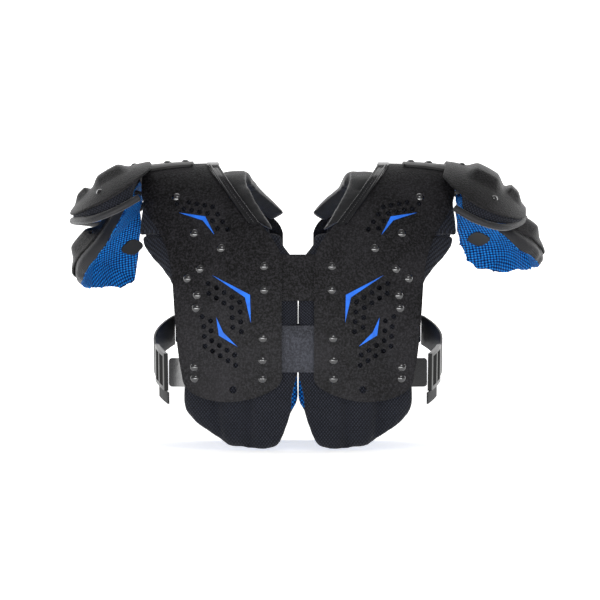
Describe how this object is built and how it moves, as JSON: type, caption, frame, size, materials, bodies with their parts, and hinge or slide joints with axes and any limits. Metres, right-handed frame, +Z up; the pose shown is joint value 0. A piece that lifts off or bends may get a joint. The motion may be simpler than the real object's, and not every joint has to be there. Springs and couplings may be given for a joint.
{
  "type": "shoulder pads",
  "caption": "Hard-shell shoulder pads: riveted chest and back arches over sewn mesh pads, hinged epaulets and arm caps, elastic side straps with buckles.",
  "frame": {"origin": "on the plane the pads stand on, in the torso's middle plane, midway between chest and back", "axes": "+Z up towards the neck, -Y towards the front of the chest, +X towards the wearer's left arm"},
  "size_m": [0.5797, 0.2578, 0.3497],
  "materials": {
    "arch_shell": "grained, soft sheen",
    "gloss_trim": "gloss",
    "inlay": "satin print",
    "rivet": "gloss black paint",
    "spacer_mesh": "woven spacer mesh",
    "blue_mesh": "honeycomb mesh",
    "nylon": "smooth nylon",
    "elastic": "ribbed elastic",
    "buckle": "gloss",
    "webbing": "woven webbing",
    "moulded_shell": "pebbled",
    "binding": "padded cloth with rolled binding",
    "strap_leather": "smooth"
  },
  "bodies": {
    "root": {"back_lower_bridge": "arch_shell", "back_upper_bridge": "arch_shell", "front_lower_bridge": "arch_shell", "front_upper_bridge": "arch_shell", "left_arch": "arch_shell", "left_back_lining": "blue_mesh", "left_back_pad": "spacer_mesh", "left_back_rivets": "rivet", "left_buckle_tab": "gloss_trim", "left_chevrons": "inlay", "left_front_lining": "blue_mesh", "left_front_pad": "spacer_mesh", "left_front_rivets": "rivet", "left_neck_roll": "nylon", "left_neck_trim": "gloss_trim", "left_ridge_rivets": "rivet", "left_ridge_strap": "strap_leather", "left_shoulder_pad": "spacer_mesh", "left_strap_anchor": "gloss_trim", "right_arch": "arch_shell", "right_back_lining": "blue_mesh", "right_back_pad": "spacer_mesh", "right_back_rivets": "rivet", "right_buckle_tab": "gloss_trim", "right_chevrons": "inlay", "right_front_lining": "blue_mesh", "right_front_pad": "spacer_mesh", "right_front_rivets": "rivet", "right_neck_roll": "nylon", "right_neck_trim": "gloss_trim", "right_ridge_rivets": "rivet", "right_ridge_strap": "strap_leather", "right_shoulder_pad": "spacer_mesh", "right_strap_anchor": "gloss_trim"},
    "left_epaulet_flap": {"left_epaulet": "moulded_shell", "left_epaulet_pad": "binding", "left_epaulet_rivets": "rivet"},
    "left_cap_cup": {"left_cap": "moulded_shell", "left_cap_pad": "binding", "left_cap_lining": "blue_mesh", "left_cap_rivets": "rivet", "left_cap_patch": "strap_leather"},
    "left_strap": {"left_side_strap": "elastic", "left_buckle": "buckle", "left_strap_tail": "webbing"},
    "right_epaulet_flap": {"right_epaulet": "moulded_shell", "right_epaulet_pad": "binding", "right_epaulet_rivets": "rivet"},
    "right_cap_cup": {"right_cap": "moulded_shell", "right_cap_pad": "binding", "right_cap_lining": "blue_mesh", "right_cap_rivets": "rivet", "right_cap_patch": "strap_leather"},
    "right_strap": {"right_side_strap": "elastic", "right_buckle": "buckle", "right_strap_tail": "webbing"}
  },
  "joints": [
    {"name": "left_epaulet_hinge", "type": "hinge", "parent": "root", "child": "left_epaulet_flap", "pos_m": [0.181, 0, 0.34703], "axis": [-0.0535, -0.9877, -0.147], "range_deg": [0, 80]},
    {"name": "left_cap_hinge", "type": "hinge", "parent": "left_epaulet_flap", "child": "left_cap_cup", "pos_m": [0.196, 0, 0.314], "axis": [0, -1, 0], "range_deg": [-3, 0]},
    {"name": "left_strap_swing", "type": "hinge", "parent": "root", "child": "left_strap", "pos_m": [0.1562, 0.0963, 0.14], "axis": [0, 0, 1], "range_deg": [0, 45]},
    {"name": "right_epaulet_hinge", "type": "hinge", "parent": "root", "child": "right_epaulet_flap", "pos_m": [-0.181, 0, 0.34703], "axis": [0, 1, 0], "range_deg": [0, 80]},
    {"name": "right_cap_hinge", "type": "hinge", "parent": "right_epaulet_flap", "child": "right_cap_cup", "pos_m": [-0.196, 0, 0.314], "axis": [0, 1, 0], "range_deg": [-3, 0]},
    {"name": "right_strap_swing", "type": "hinge", "parent": "root", "child": "right_strap", "pos_m": [-0.1562, 0.0963, 0.14], "axis": [0, 0, -1], "range_deg": [0, 45]}
  ]
}
